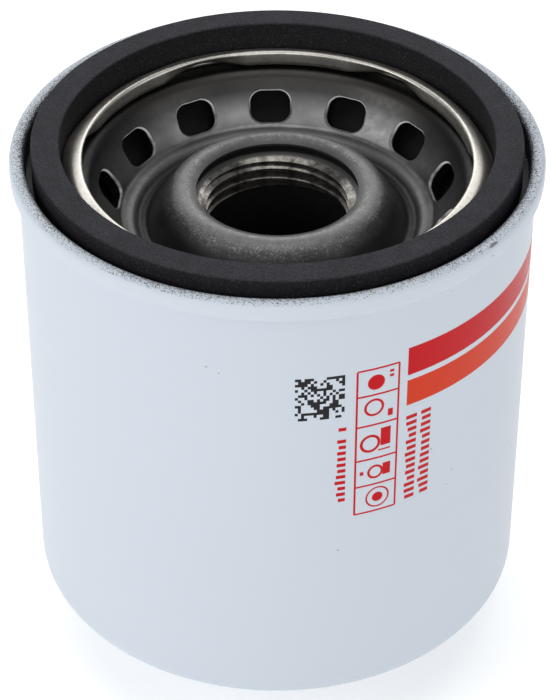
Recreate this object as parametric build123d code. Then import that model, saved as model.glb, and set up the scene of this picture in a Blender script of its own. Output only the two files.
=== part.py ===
from build123d import *
import math
import os

# Spin-on oil filter, millimetres, +Z up. It stands on its wrench nut with the mounting end up.
# The origin is the middle of the nut's end face, on the can's axis.

# ---- envelope
OVERALL_HEIGHT = 76.5      # nut end face to the gasket's sealing face
NUT_STANDOFF = 9.5         # nut end face to the can's closed end
SEAM_RADIUS = 34.0         # outside of the rolled seam
SHEET = 0.35               # steel of the can, the seaming lid and the end caps
CONTACT = 0.05             # gap left between pieces that only rest against each other
OVERCUT = 1.0              # how far a cutting tool reaches past the material

# ---- can: the seam is three sheets outside the wall
CAN_RADIUS = SEAM_RADIUS - 3 * SHEET
CAN_CORNER_BEND = 2.2
PANEL_RADIUS = 18.5        # flat recessed panel that carries the nut
PANEL_DEPTH = 1.0
PANEL_STEP_WIDTH = 1.5
PANEL_BEND = 1.2

# ---- seam, depths below the sealing face
SEAM_TOP = 1.545
SEAM_BOTTOM = 4.2
SEAM_TOP_BEND = 0.65
HOOK_BEND = 0.33
COMPOUND_GAP = 0.2         # space for sealing compound over the can's hook
COMPOUND_HEIGHT = 0.15
COMPOUND_WIDTH = 0.45
HOOK_CLEARANCE = 0.2

# ---- gasket
GASKET_OUTER = 31.2
GASKET_INNER = 27.6
GASKET_THICKNESS = 5.0
GASKET_EDGE = 0.25

# ---- seaming lid: gasket channel with a hemmed inner rim and gripping lobes
RIM_TOP = 2.79             # depth of the hem's top below the sealing face
RIM_INNER = 24.75
RIM_FLANGE_END = 4.7
HEM_BEND = 0.25
CHANNEL_FOOT_RADIUS = 27.0
CHANNEL_FOOT_BEND = 0.6
CHANNEL_CORNER_BEND = 0.5
LOBE_COUNT = 6
LOBE_ANGLE = 20
LOBE_FIRST = 53.5
LOBE_TIP = GASKET_INNER - CONTACT
LOBE_ROOT = (RIM_INNER + 0.75, RIM_TOP + 0.35)
LOBE_BROW = (LOBE_TIP - 0.6, RIM_TOP + 0.45)
LOBE_CORNER = (LOBE_TIP, RIM_TOP + 1.1)
LOBE_BEND = 0.5

# ---- base plate, depths below the sealing face
PLATE_SHEET = 1.6
FLANGE_OUTER = 31.4
CONE_TOP_RADIUS = 24.4
CONE_FOOT = (20.1, 11.5)
RIDGE = (18.7, 11.75)
VALLEY_OUTER = (17.9, 12.7)
VALLEY_INNER = (16.9, 12.7)
HUB_SHOULDER = (13.7, 8.2)
HUB_CREST = (12.1, 7.35)
HUB_LIP = (10.44, 8.11)
FLANGE_BEND = 2.0
FOOT_BEND = 0.8
RIDGE_BEND = 1.7
VALLEY_BEND = 0.5
HUB_BEND = 2.0

# ---- centre thread, M20 x 1.5
THREAD_PITCH = 1.5
THREAD_MAJOR = 20.0 / 2
THREAD_MINOR = 18.376 / 2
THREAD_FLANK = 30          # angle of a flank from the crest's normal
THREAD_ROOT_WIDTH = THREAD_PITCH / 8
THREAD_OVERCUT = 0.1
NECK_OUTER = 12.0
NECK_TOP = 8.95
NECK_END = 14.0
RELIEF_RADIUS = 10.75
RELIEF_END = 9.55
LEAD_IN_END = 10.35

# ---- inlet openings, punched square to the conical wall
INLET_COUNT = 13
INLET_WIDTH = 5.3
INLET_HEIGHT = 4.3
INLET_CORNER = 1.6
INLET_RING_RADIUS = 21.59
INLET_FIRST = 92.6
INLET_EDGE = 0.25

# ---- anti-drainback valve
VALVE_BORE = 10.2
VALVE_COLLAR_RADIUS = 18.5
VALVE_COLLAR_THICKNESS = 3.0
VALVE_SLEEVE_WALL = 1.4
VALVE_SLEEVE_LENGTH = 6.0
SKIRT_THICKNESS = 0.9
SKIRT_SLIP = 0.1
SKIRT_KNEE = (21.0, 14.7)
SKIRT_OUTER = 30.8
SKIRT_LIP_WIDTH = 1.1
SKIRT_BEND = 0.6

# ---- filter element
ELEMENT_RADIUS = 28.0
CAP_FLANGE = 3.0
CAP_BEND = 0.4
CAP_BORE = 11.75
POTTING = 1.45
LOWER_CAP_DEPTH = 57.5     # underside of the lower cap below the sealing face
MEDIA_INNER = 14.2
MEDIA_OUTER = 27.2
MEDIA_SHEET = 0.6
PLEAT_COUNT = 52
FOLD_HALF_WIDTH = 0.45
CLIP_THICKNESS = 0.7
CLIP_INNER = 19.5
CLIP_OUTER = 26.8
TUBE_INNER = 13.0
TUBE_WALL = 0.5
TUBE_HOLE_RADIUS = 1.6
TUBE_HOLE_ROWS = 6
TUBE_HOLE_PAIRS = 4

# ---- bypass valve in the lower cap
BYPASS_PORT = 6.0
SEAL_INNER = 6.3
SEAL_OUTER = 8.2
SEAL_THICKNESS = 1.0
POPPET_RADIUS = 8.6
POPPET_THICKNESS = 0.9
POPPET_PILOT_RADIUS = 5.2
STEM_RADIUS = 1.5
STEM_LENGTH = 11.7
CAGE_FOOT_RADIUS = 12.0
CAGE_RADIUS = 9.95
CAGE_HEIGHT = 11.5
CAGE_BEND = 0.5
CAGE_WINDOW_WIDTH = 8.0
CAGE_WINDOW_HEIGHT = 6.0
GUIDE_CLEARANCE = 0.06
BYPASS_WIRE = 0.4
BYPASS_COIL = 4.5
BYPASS_TURNS = 4

# ---- spring that holds the element up against the base plate
HOLD_WIRE = 0.9
HOLD_COIL = 13.0
HOLD_TURNS = 2.5

# ---- wrench nut, one inch across flats
NUT_FLATS = 25.4
NUT_CHAMFER = 1.2
NUT_CHAMFER_SLOPE = 0.5
WIRE_HOLE_RADIUS = 1.2
WIRE_HOLE_HEIGHT = 4.0
WELD_LEG = 1.2
WELD_LENGTH = 6.0
WELD_COUNT = 6


def at_depth(depth):
    """Height of a level given as a depth below the sealing face."""
    return OVERALL_HEIGHT - depth


def at_depths(points):
    """(radius, depth) pairs as (radius, height) pairs."""
    return [(radius, at_depth(depth)) for radius, depth in points]


def direction(start, end):
    length = math.dist(start, end)
    return (end[0] - start[0]) / length, (end[1] - start[1]) / length


def shifted(points, distance, closed=False):
    """Points of the polyline moved to its left by a distance, with mitred corners."""
    count = len(points)
    result = []
    for i, point in enumerate(points):
        before = points[i - 1] if closed or i else None
        after = points[(i + 1) % count] if closed or i < count - 1 else None
        d1 = direction(before, point) if before else direction(point, after)
        d2 = direction(point, after) if after else d1
        scale = distance / (1 + d1[0] * d2[0] + d1[1] * d2[1])
        result.append((point[0] - (d1[1] + d2[1]) * scale, point[1] + (d1[0] + d2[0]) * scale))
    return result


def turn_sign(points, i):
    """+1 where the polyline turns left at point i, -1 where it turns right."""
    d1 = direction(points[i - 1], points[i])
    d2 = direction(points[i], points[i + 1])
    return math.copysign(1, d1[0] * d2[1] - d1[1] * d2[0])


def bent_sheet(points, bends, left, right):
    """Outline of a bent sheet that reaches left and right of the line through points.

    bends holds the bend radius of that line at each inner point.
    """
    turns = [turn_sign(points, i) for i in range(1, len(points) - 1)]
    left_radii = [bend - turn * left for bend, turn in zip(bends, turns)]
    right_radii = [bend + turn * right for bend, turn in zip(bends, turns)]
    outline = shifted(points, left) + shifted(points, -right)[::-1]
    radii = [0] + left_radii + [0, 0] + right_radii[::-1] + [0]
    return FilletPolyline(*outline, radius=radii, close=True)


def turned(outline, angle=360):
    """Solid made by turning an (r, z) outline about the filter's axis."""
    return revolve(Plane.XZ * make_face(outline), Axis.Z, revolution_arc=angle)


def ring(inner, outer, bottom, top, edge=0.0):
    """Plain ring, with its four edges rounded when edge is given."""
    corners = [(inner, bottom), (outer, bottom), (outer, top), (inner, top)]
    return turned(FilletPolyline(*corners, radius=edge, close=True))


def disc(radius, bottom, top):
    return Pos(0, 0, bottom) * Cylinder(
        radius, top - bottom, align=(Align.CENTER, Align.CENTER, Align.MIN)
    )


def coil_spring(coil, wire, turns, bottom, top):
    """Round wire wound between two levels."""
    height = top - bottom - 2 * wire
    path = Helix(height / turns, height, coil, center=(0, 0, bottom + wire))
    section = Plane(origin=path @ 0, z_dir=path % 0) * Circle(wire)
    return sweep(section, path=path, is_frenet=True)


def can_shell():
    """Drawn can: closed end with a recessed panel, wall, and the hook that the seam holds."""
    end = NUT_STANDOFF + SHEET / 2
    panel = end + PANEL_DEPTH
    wall = CAN_RADIUS - SHEET / 2
    hook = wall + 2 * SHEET
    hook_top = at_depth(SEAM_TOP + SHEET + COMPOUND_GAP + SHEET / 2)
    hook_end = at_depth(SEAM_BOTTOM - SHEET - HOOK_CLEARANCE)
    points = [
        (0, panel),
        (PANEL_RADIUS, panel),
        (PANEL_RADIUS + PANEL_STEP_WIDTH, end),
        (wall, end),
        (wall, hook_top),
        (hook, hook_top),
        (hook, hook_end),
    ]
    bends = [PANEL_BEND, PANEL_BEND, CAN_CORNER_BEND, HOOK_BEND, HOOK_BEND]
    return turned(bent_sheet(points, bends, SHEET / 2, SHEET / 2))


def hem_corner_height(slope):
    """Height at which the hem's two legs would cross, so that its bend tops out at RIM_TOP."""
    tangent = HEM_BEND / math.tan(slope / 2)
    return at_depth(RIM_TOP) - SHEET / 2 - HEM_BEND + tangent


def lid_lobe():
    """One lobe pressed outwards from the rim to grip the gasket."""
    floor = GASKET_THICKNESS - CONTACT
    corners = at_depths([
        LOBE_ROOT, LOBE_BROW, LOBE_CORNER, (LOBE_TIP, floor), (CHANNEL_FOOT_RADIUS, floor)
    ])
    outline = FilletPolyline(*corners, radius=[0, LOBE_BEND, LOBE_BEND, 0, 0], close=True)
    return Rot(0, 0, -LOBE_ANGLE / 2) * turned(outline, LOBE_ANGLE)


def seaming_lid():
    """Lid: hemmed rim, gasket channel, and the seam's outer sheets rolled round the can's hook."""
    rim = RIM_INNER + SHEET / 2
    floor = at_depth(GASKET_THICKNESS + SHEET / 2)
    slope = math.atan2(CHANNEL_FOOT_RADIUS - rim, at_depth(RIM_TOP) - floor)
    chuck = CAN_RADIUS - SHEET * 1.5
    outer = SEAM_RADIUS - SHEET / 2
    top = at_depth(SEAM_TOP + SHEET / 2)
    bottom = at_depth(SEAM_BOTTOM - SHEET / 2)
    cover_hook_end = at_depth(SEAM_TOP + 2 * SHEET + COMPOUND_GAP + HOOK_CLEARANCE)
    points = [
        (rim, at_depth(RIM_FLANGE_END)),
        (rim, hem_corner_height(slope)),
        (CHANNEL_FOOT_RADIUS, floor),
        (chuck, floor),
        (chuck, top),
        (outer, top),
        (outer, bottom),
        (outer - 2 * SHEET, bottom),
        (outer - 2 * SHEET, cover_hook_end),
    ]
    bends = [HEM_BEND, CHANNEL_FOOT_BEND, CHANNEL_CORNER_BEND, SEAM_TOP_BEND, SEAM_TOP_BEND]
    bends += [HOOK_BEND, HOOK_BEND]
    lid = turned(bent_sheet(points, bends, SHEET / 2, SHEET / 2))
    for i in range(LOBE_COUNT):
        lid += Rot(0, 0, LOBE_FIRST + i * 360 / LOBE_COUNT) * lid_lobe()
    return lid


def seam_compound():
    """Sealing compound squeezed between the lid and the top of the can's hook."""
    middle = CAN_RADIUS + SHEET / 2
    bottom = at_depth(SEAM_TOP + SHEET + COMPOUND_GAP)
    inner = middle - COMPOUND_WIDTH / 2
    return ring(inner, inner + COMPOUND_WIDTH, bottom, bottom + COMPOUND_HEIGHT)


def gasket():
    return ring(GASKET_INNER, GASKET_OUTER, at_depth(GASKET_THICKNESS), at_depth(0), GASKET_EDGE)


def plate_face_points():
    """Upper face of the stamped base plate, from the flange in to the hub's lip."""
    flange = GASKET_THICKNESS + SHEET
    return at_depths([
        (FLANGE_OUTER, flange),
        (CONE_TOP_RADIUS, flange),
        CONE_FOOT,
        RIDGE,
        VALLEY_OUTER,
        VALLEY_INNER,
        HUB_SHOULDER,
        HUB_CREST,
        HUB_LIP,
    ])


def cone_plane():
    """Plane on the conical wall where an inlet opening is punched, its Z square to the wall."""
    top = (CONE_TOP_RADIUS, at_depth(GASKET_THICKNESS + SHEET))
    foot = (CONE_FOOT[0], at_depth(CONE_FOOT[1]))
    along = direction(foot, top)
    height = foot[1] + (INLET_RING_RADIUS - foot[0]) * along[1] / along[0]
    return Plane(
        origin=(INLET_RING_RADIUS, 0, height), x_dir=(0, 1, 0), z_dir=(-along[1], 0, along[0])
    )


def inlet_outline(growth):
    """Rounded square of an opening, grown all round."""
    return RectangleRounded(
        INLET_WIDTH + 2 * growth, INLET_HEIGHT + 2 * growth, INLET_CORNER + growth
    )


def inlet_punch():
    """Tool for one inlet opening: a rounded square that widens at the upper face."""
    plane = cone_plane()
    hole = extrude(plane * inlet_outline(0), 2 * PLATE_SHEET, both=True)
    mouth = loft([
        plane.offset(-INLET_EDGE) * inlet_outline(0),
        plane.offset(2 * INLET_EDGE) * inlet_outline(2 * INLET_EDGE),
    ])
    return hole + mouth


def thread_groove():
    """Helical groove of the internal thread, running out at both ends of the neck."""
    bottom = at_depth(NECK_END) - THREAD_PITCH
    top = at_depth(RELIEF_END) + THREAD_PITCH / 2
    depth = THREAD_MAJOR - THREAD_MINOR
    root = THREAD_ROOT_WIDTH / 2
    mouth = root + (depth + THREAD_OVERCUT) * math.tan(math.radians(THREAD_FLANK))
    path = Helix(THREAD_PITCH, top - bottom, THREAD_MINOR, center=(0, 0, bottom))
    section = Plane(origin=path @ 0, x_dir=(1, 0, 0), z_dir=path % 0) * make_face(Polyline(
        (-THREAD_OVERCUT, -mouth),
        (depth, -root),
        (depth, root),
        (-THREAD_OVERCUT, mouth),
        close=True,
    ))
    return sweep(section, path=path, is_frenet=True)


def threaded_neck():
    """Neck below the hub, threaded from its end up to a tapered lead-in and a relief."""
    bottom, top = at_depth(NECK_END), at_depth(NECK_TOP)
    neck = disc(NECK_OUTER, bottom, top) - disc(THREAD_MINOR, bottom - OVERCUT, top + OVERCUT)
    lead_in = turned(Polyline(
        (0, at_depth(LEAD_IN_END)),
        (THREAD_MINOR, at_depth(LEAD_IN_END)),
        (RELIEF_RADIUS, at_depth(RELIEF_END)),
        (RELIEF_RADIUS, top + OVERCUT),
        (0, top + OVERCUT),
        close=True,
    ))
    return neck - thread_groove() - lead_in


def base_plate():
    """Stamped plate with its rolled hub, threaded neck and ring of inlet openings."""
    bends = [FLANGE_BEND, FOOT_BEND, RIDGE_BEND, VALLEY_BEND, VALLEY_BEND, HUB_BEND, HUB_BEND]
    plate = turned(bent_sheet(plate_face_points(), bends, PLATE_SHEET, 0))
    plate -= disc(RELIEF_RADIUS, at_depth(RELIEF_END), at_depth(NECK_TOP))
    plate += threaded_neck()
    for i in range(INLET_COUNT):
        plate -= Rot(0, 0, INLET_FIRST + i * 360 / INLET_COUNT) * inlet_punch()
    return plate


def valve_collar_top():
    return at_depth(VALLEY_INNER[1] + PLATE_SHEET + CONTACT)


def upper_cap_top():
    """The collar is pinched between the base plate and the element's upper cap."""
    return valve_collar_top() - VALVE_COLLAR_THICKNESS - CONTACT


def drainback_valve_collar():
    """Thick middle of the rubber valve, with a sleeve that seals down into the element."""
    top = valve_collar_top()
    bottom = top - VALVE_COLLAR_THICKNESS
    sleeve = ring(VALVE_BORE, VALVE_BORE + VALVE_SLEEVE_WALL, bottom - VALVE_SLEEVE_LENGTH, top)
    return sleeve + ring(VALVE_BORE, VALVE_COLLAR_RADIUS, bottom, top)


def drainback_valve_skirt():
    """Thin rubber skirt that lies under the inlet openings with its lip on the plate's flange."""
    half = SKIRT_THICKNESS / 2
    lip_depth = GASKET_THICKNESS + SHEET + PLATE_SHEET + CONTACT + half
    points = at_depths([
        (VALVE_COLLAR_RADIUS + SKIRT_SLIP, SKIRT_KNEE[1] + half),
        (SKIRT_KNEE[0], SKIRT_KNEE[1]),
        (SKIRT_OUTER - SKIRT_LIP_WIDTH, lip_depth),
        (SKIRT_OUTER, lip_depth),
    ])
    return turned(bent_sheet(points, [SKIRT_BEND, SKIRT_BEND], half, half))


def end_cap(face, flange_end, bore, bore_end):
    """Pressed cap whose outer flange and bore flange both turn towards the medium."""
    outer = ELEMENT_RADIUS - SHEET / 2
    inner = bore + SHEET / 2
    points = [(outer, flange_end), (outer, face), (inner, face), (inner, bore_end)]
    return turned(bent_sheet(points, [CAP_BEND, CAP_BEND], SHEET / 2, SHEET / 2))


def upper_end_cap():
    face = upper_cap_top() - SHEET / 2
    return end_cap(face, face - CAP_FLANGE, CAP_BORE, face - CAP_FLANGE / 2)


def lower_cap_top():
    return at_depth(LOWER_CAP_DEPTH) + SHEET


def lower_end_cap():
    """Plain cap with the bypass port through its middle."""
    face = at_depth(LOWER_CAP_DEPTH) + SHEET / 2
    outer = ELEMENT_RADIUS - SHEET / 2
    points = [(outer, face + CAP_FLANGE), (outer, face), (BYPASS_PORT, face)]
    return turned(bent_sheet(points, [CAP_BEND], SHEET / 2, SHEET / 2))


def potting_ring(bottom):
    """Adhesive that beds the medium and the centre tube in a cap."""
    return ring(CAP_BORE + 2 * SHEET, ELEMENT_RADIUS - 2 * SHEET, bottom, bottom + POTTING)


def media_span():
    """Bottom and top of the medium, between the two potting rings."""
    return lower_cap_top() + POTTING, upper_cap_top() - SHEET - POTTING


def pleat_line():
    """Closed zigzag through the middle of the medium, with flat folds."""
    points = []
    outer = MEDIA_OUTER - MEDIA_SHEET / 2
    inner = MEDIA_INNER + MEDIA_SHEET / 2
    for i in range(2 * PLEAT_COUNT):
        radius = inner if i % 2 else outer
        angle = math.pi * i / PLEAT_COUNT
        for side in (-1, 1):
            around = angle + side * FOLD_HALF_WIDTH / radius
            points.append((radius * math.cos(around), radius * math.sin(around)))
    return points


def filter_media():
    """Pleated paper sleeve."""
    bottom, top = media_span()
    middle = pleat_line()
    outside = Polyline(*shifted(middle, -MEDIA_SHEET / 2, closed=True), close=True)
    inside = Polyline(*shifted(middle, MEDIA_SHEET / 2, closed=True), close=True)
    section = make_face(outside) - make_face(inside)
    return extrude(Pos(0, 0, bottom) * section, top - bottom)


def media_seam_clip():
    """Metal strip between two pleats, over the joint of the paper's ends."""
    bottom, top = media_span()
    strip = Box(
        CLIP_OUTER - CLIP_INNER, CLIP_THICKNESS, top - bottom, align=(Align.MIN, Align.CENTER, Align.MIN)
    )
    return Rot(0, 0, 180 / PLEAT_COUNT) * Pos(CLIP_INNER, 0, bottom) * strip


def centre_tube():
    """Perforated tube that the medium is folded round."""
    bottom, top = media_span()
    tube = ring(TUBE_INNER, TUBE_INNER + TUBE_WALL, bottom, top)
    pitch = (top - bottom) / TUBE_HOLE_ROWS
    drill = Rot(0, 90, 0) * Cylinder(TUBE_HOLE_RADIUS, 2 * (TUBE_INNER + TUBE_WALL + OVERCUT))
    step = 180 / TUBE_HOLE_PAIRS
    for row in range(TUBE_HOLE_ROWS):
        for pair in range(TUBE_HOLE_PAIRS):
            turn = step * (pair + (row % 2) / 2)
            tube -= Pos(0, 0, bottom + (row + 0.5) * pitch) * Rot(0, 0, turn) * drill
    return tube


def poppet_bottom():
    return lower_cap_top() + CONTACT + SEAL_THICKNESS


def poppet_top():
    return poppet_bottom() + POPPET_THICKNESS


def cage_top():
    return lower_cap_top() + CAGE_HEIGHT


def bypass_poppet():
    """Disc with a guide stem above and a short pilot inside its seal."""
    plate = disc(POPPET_RADIUS, poppet_bottom(), poppet_top())
    pilot = disc(POPPET_PILOT_RADIUS, poppet_bottom() - SEAL_THICKNESS / 2, poppet_bottom())
    stem = disc(STEM_RADIUS, poppet_top(), poppet_top() + STEM_LENGTH)
    return plate + pilot + stem


def bypass_seal():
    return ring(SEAL_INNER, SEAL_OUTER, poppet_bottom() - SEAL_THICKNESS, poppet_bottom())


def bypass_cage():
    """Bell over the poppet that guides its stem, with side windows for the oil."""
    foot = lower_cap_top() + SHEET / 2
    wall = CAGE_RADIUS - SHEET / 2
    roof = cage_top() - SHEET / 2
    guide = STEM_RADIUS + GUIDE_CLEARANCE
    points = [(CAGE_FOOT_RADIUS, foot), (wall, foot), (wall, roof), (guide, roof)]
    cage = turned(bent_sheet(points, [CAGE_BEND, CAGE_BEND], SHEET / 2, SHEET / 2))
    middle = (poppet_top() + cage_top()) / 2
    window = Pos(0, 0, middle) * Box(
        2 * (CAGE_RADIUS + OVERCUT), CAGE_WINDOW_WIDTH, CAGE_WINDOW_HEIGHT
    )
    return cage - window - Rot(0, 0, 90) * window


def bypass_spring():
    return coil_spring(BYPASS_COIL, BYPASS_WIRE, BYPASS_TURNS, poppet_top(), cage_top() - SHEET)


def element_spring():
    panel_inside = NUT_STANDOFF + PANEL_DEPTH + SHEET
    return coil_spring(HOLD_COIL, HOLD_WIRE, HOLD_TURNS, panel_inside, at_depth(LOWER_CAP_DEPTH))


def wrench_nut():
    """Solid hexagon with a chamfered end and a cross hole for safety wire."""
    height = NUT_STANDOFF + PANEL_DEPTH
    hexagon = extrude(RegularPolygon(NUT_FLATS / 2, 6, major_radius=False, rotation=30), height)
    corner = NUT_FLATS / math.sqrt(3)
    cone = turned(Polyline(
        (0, 0),
        (corner - NUT_CHAMFER, 0),
        (corner, NUT_CHAMFER * NUT_CHAMFER_SLOPE),
        (corner, height),
        (0, height),
        close=True,
    ))
    drill = Pos(0, 0, WIRE_HOLE_HEIGHT) * Rot(0, 90, 0) * Cylinder(
        WIRE_HOLE_RADIUS, NUT_FLATS + 2 * OVERCUT
    )
    return (hexagon & cone) - drill


def nut_weld_beads():
    """Fillet welds that join the nut's flats to the can's panel."""
    panel = NUT_STANDOFF + PANEL_DEPTH
    face = NUT_FLATS / 2
    section = Plane.XZ * make_face(Polyline(
        (face, panel), (face + WELD_LEG, panel), (face, panel - WELD_LEG), close=True
    ))
    bead = Pos(0, WELD_LENGTH / 2, 0) * extrude(section, WELD_LENGTH)
    return Compound([Rot(0, 0, i * 360 / WELD_COUNT) * bead for i in range(WELD_COUNT)])


def build_all():
    potting_bottoms = {"lower_potting": lower_cap_top(), "upper_potting": media_span()[1]}
    nodes = [
        can_shell, seaming_lid, seam_compound, gasket, base_plate,
        drainback_valve_collar, drainback_valve_skirt,
        upper_end_cap, lower_end_cap, filter_media, media_seam_clip, centre_tube,
        bypass_cage, bypass_poppet, bypass_seal, bypass_spring, element_spring,
        wrench_nut, nut_weld_beads,
    ]
    os.makedirs("parts", exist_ok=True)
    for make in nodes:
        export_step(make(), f"parts/{make.__name__}.step")
    for name, bottom in potting_bottoms.items():
        export_step(potting_ring(bottom), f"parts/{name}.step")


build_all()
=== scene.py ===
"""Looks of a spin-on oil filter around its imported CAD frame.

The script works in millimetres and turns them into metres at the mesh, camera and lights.
Angles are degrees around the filter's axis, from +X towards +Y. The camera looks from -Y.
"""

import math

import bpy
from mathutils import Matrix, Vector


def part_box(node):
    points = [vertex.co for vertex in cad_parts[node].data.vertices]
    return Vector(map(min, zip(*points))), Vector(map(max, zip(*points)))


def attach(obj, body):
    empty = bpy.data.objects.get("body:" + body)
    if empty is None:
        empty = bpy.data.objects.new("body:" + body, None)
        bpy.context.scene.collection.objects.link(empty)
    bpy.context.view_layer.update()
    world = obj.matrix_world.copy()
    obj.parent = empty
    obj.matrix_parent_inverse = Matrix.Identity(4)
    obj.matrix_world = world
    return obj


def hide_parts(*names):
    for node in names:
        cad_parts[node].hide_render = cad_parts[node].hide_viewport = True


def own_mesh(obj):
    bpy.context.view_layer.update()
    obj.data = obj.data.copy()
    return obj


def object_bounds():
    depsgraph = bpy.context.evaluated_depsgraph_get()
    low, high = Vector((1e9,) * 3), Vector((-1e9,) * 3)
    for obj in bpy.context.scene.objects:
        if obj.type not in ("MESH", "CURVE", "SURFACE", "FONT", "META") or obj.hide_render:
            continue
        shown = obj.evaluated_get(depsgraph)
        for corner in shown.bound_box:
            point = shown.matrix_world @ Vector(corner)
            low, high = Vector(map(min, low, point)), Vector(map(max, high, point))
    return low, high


MM = 0.001
FULL_TURN = 360.0

# ---- formed lid: one sheet, bent from the rim's flange to the seam's cover hook
SHEET = 0.35
RIM_RADIUS = 24.75           # inside of the rim
RIM_DROP = 1.245             # rim's top below the seam's
FLANGE_LENGTH = 1.75
SLOPE_FLAT = 1.1             # the slope beside the rim falls gently over this width
SLOPE_FALL = 0.3
SLOPE_SHOULDER = 1.1         # depth of the slope's outer edge below the rim's top
FOOT_RADIUS = 26.95          # where the sheet turns down to the gasket's channel
CHUCK_INSET = 4.5 * SHEET    # chuck wall's middle, inside the seam's outer face
CHUCK_LEAN = 0.25            # the chuck wall leans in over the gasket
HOOK_INSET = 2 * SHEET       # cover hook's middle, inside the seam's outer wall
SEAM_DROP = 1.93             # seam's lower bend below the compound's lower end
HOOK_DROP = 1.1              # cover hook's end below the seam's top
HEM_BEND = 0.25
SLOPE_BEND = 1.4
SHOULDER_BEND = 0.7
FOOT_BEND = 0.4
CORNER_BEND = 0.5
SEAM_BEND = 0.65
HOOK_BEND = 0.33
BEND_STEPS = 6
LID_STEPS = 600              # quads round the axis
LID_QUAD = 0.7               # longest quad along the line

# ---- gripping lobes pressed out of the lid's rim
LOBE_COUNT = 6
LOBE_FIRST = 53.5
LOBE_HALF_ANGLE = 15.0
LOBE_POWER = 1.5             # narrows a lobe's crown and softens its ends
FLANGE_PUSH = 1.2            # outward, at the flange's lower end
FLANGE_LIFT = 1.1            # upward, at the flange's lower end
SLOPE_PUSH = 0.45
SLOPE_PUSH_RISE = 0.5        # share of the slope's height over which the push grows
SLOPE_PUSH_FALL = 0.25       # share of it over which the push dies out above the channel

# ---- base plate's conical wall
CONE_TOP_RADIUS = 24.4
CONE_FOOT_RADIUS = 20.1
CONE_DROP = 6.15

# ---- print on the can: angles, and depths below the sealing face
BAND_START = -61.1
BAND_END = 150.0
RED_BAND = (11.7, 15.9)
ORANGE_BAND = (16.7, 20.6)
BLOCK_ANGLES = (-86.2, -75.5)
BLOCK_DEPTHS = (13.4, 19.9)
BLOCK_CELLS = 16
BLOCK_EMPTY = 0.47           # share of cells left white
CODE_ANGLES = (-77.4, -75.0)
CODE_DEPTHS = (21.4, 33.7)
CODE_SEED = 3.0
PANEL_ANGLES = (-72.8, -63.2)
PANEL_DEPTHS = (13.4, 17.4, 22.1, 27.5, 31.7, 36.1)
PANEL_LINE = 0.28
NOTE_COLUMNS = ((-61.1, -58.3), (-57.6, -54.6))
NOTE_DEPTHS = (22.1, 36.0)
NOTE_SEED = 40.0
TICK_PITCH = 0.98
TICK_HALF = 0.29             # half of a tick's share of its pitch
TICK_EDGE = 0.05
TICK_MISSING = 0.1           # share of ticks left out
TICK_SHORTER = 0.35          # the shortest tick lacks this share of its column

# Marks of each cell, from its middle: a bar's left, right, top and bottom, or else the place
# across and along, the outer radius and, for a ring, the inner radius.
PANEL_MARKS = (
    (("disc", -0.3, 0.1, 1.15), ("bar", 1.5, 2.1, -1.3, -0.9), ("bar", 1.5, 2.1, -0.6, -0.2)),
    (("ring", -0.5, -0.4, 1.35, 1.0), ("bar", 1.4, 2.1, 0.4, 1.5)),
    (("ring", -0.9, 0.2, 1.4, 1.0), ("bar", 0.5, 1.9, -1.9, 0.9), ("bar", 0.2, 1.9, 1.4, 1.65)),
    (("ring", -0.1, 0.1, 1.1, 0.75), ("bar", 0.9, 2.0, -1.0, 0.9), ("bar", -2.2, -1.7, -0.3, 0.3)),
    (("ring", 0.3, 0.0, 1.65, 1.4), ("disc", 0.3, 0.0, 0.75)),
)

PRINT_RED = (0.47, 0.0, 0.004)
PRINT_ORANGE = (0.56, 0.034, 0.006)
PRINT_BLACK = (0.012, 0.012, 0.014)
PRINT_WALL = (31.0, 32.0)    # radii between which the can's wall starts to take print
ANGLE_EDGE = 0.05            # softness of printed edges
DEPTH_EDGE = 0.03
MARK_EDGE = 0.04

# ---- camera
CAMERA_PLACE = (0.148, -281.18, 259.47)
CAMERA_TILT = 52.304
CAMERA_ROLL = 0.164
CAMERA_LENS = 136.0

# ---- spans of a noise's values that are spread over two tones
CORE = (0.3, 0.7)
WIDE = (0.2, 0.8)

# ---- paint: patterns are (scale per mm, detail), here and below, with a roughness where it matters
PAINT_TONES = (0.530, 0.577, 0.632), (0.540, 0.587, 0.642)
PAINT_CLOUD = (0.02, 1.0)
PAINT_GLOSS = (0.3, 1.0)
CAN_ROUGHNESS = (0.30, 0.34)
CAN_SPECULAR = 0.14
NUT_ROUGHNESS = (0.30, 0.36)
NUT_SPECULAR = 0.3
PEEL = (0.9, 0.0)
PEEL_DEPTH = 0.0008
DUST_TONE = (0.20, 0.20, 0.21)
DUST_CELLS = 0.5
DUST_REACH = (0.10, 0.06)
DUST_PLACES = (0.10, 0.0)
DUST_SHARE = (0.70, 0.72)
DUST_STRENGTH = 0.6

# ---- lid: bright metal inside the gasket, speckled paint on the seam
LID_TONES = (0.58, 0.56, 0.515), (0.66, 0.64, 0.595)
LID_DRIFT = (0.25, 1.0)
STAIN_TONE = (0.44, 0.37, 0.30)
STAIN = (1.6, 3.0, 0.7)
STAIN_SHARE = (0.46, 0.66)
STAIN_STRENGTH = 0.5
LID_ROUGHNESS = (0.36, 0.42)
LID_SPECULAR = 0.2
LID_WAVE = (0.5, 0.0)
LID_GLOSS = (0.5, 1.0)
LID_WAVE_DEPTH = 0.0008
PAINT_START = (29.0, 29.2)
SPECKS = (6.4, 1.0, 0.6)
SPECKS_DRIFT = (0.08, 1.0)
SPECKS_DRIFT_SIZE = 0.04
COVER_INNER = (31.95, 32.5, 0.28, 0.50)  # from and to radius, from and to value
COVER_TOP = (32.5, 33.8, 0.0, 0.13)
COVER_SIDE = (33.75, 33.95, 0.0, 0.3)
# dark specks on the bare steel, blackest beside the gasket where painted shade fills the gap
GRIME_AND_SHADE_TONES = (0.010, 0.010, 0.012), (0.15, 0.15, 0.16)
GRIME_AND_SHADE_RADII = (32.0, 33.0)

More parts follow.
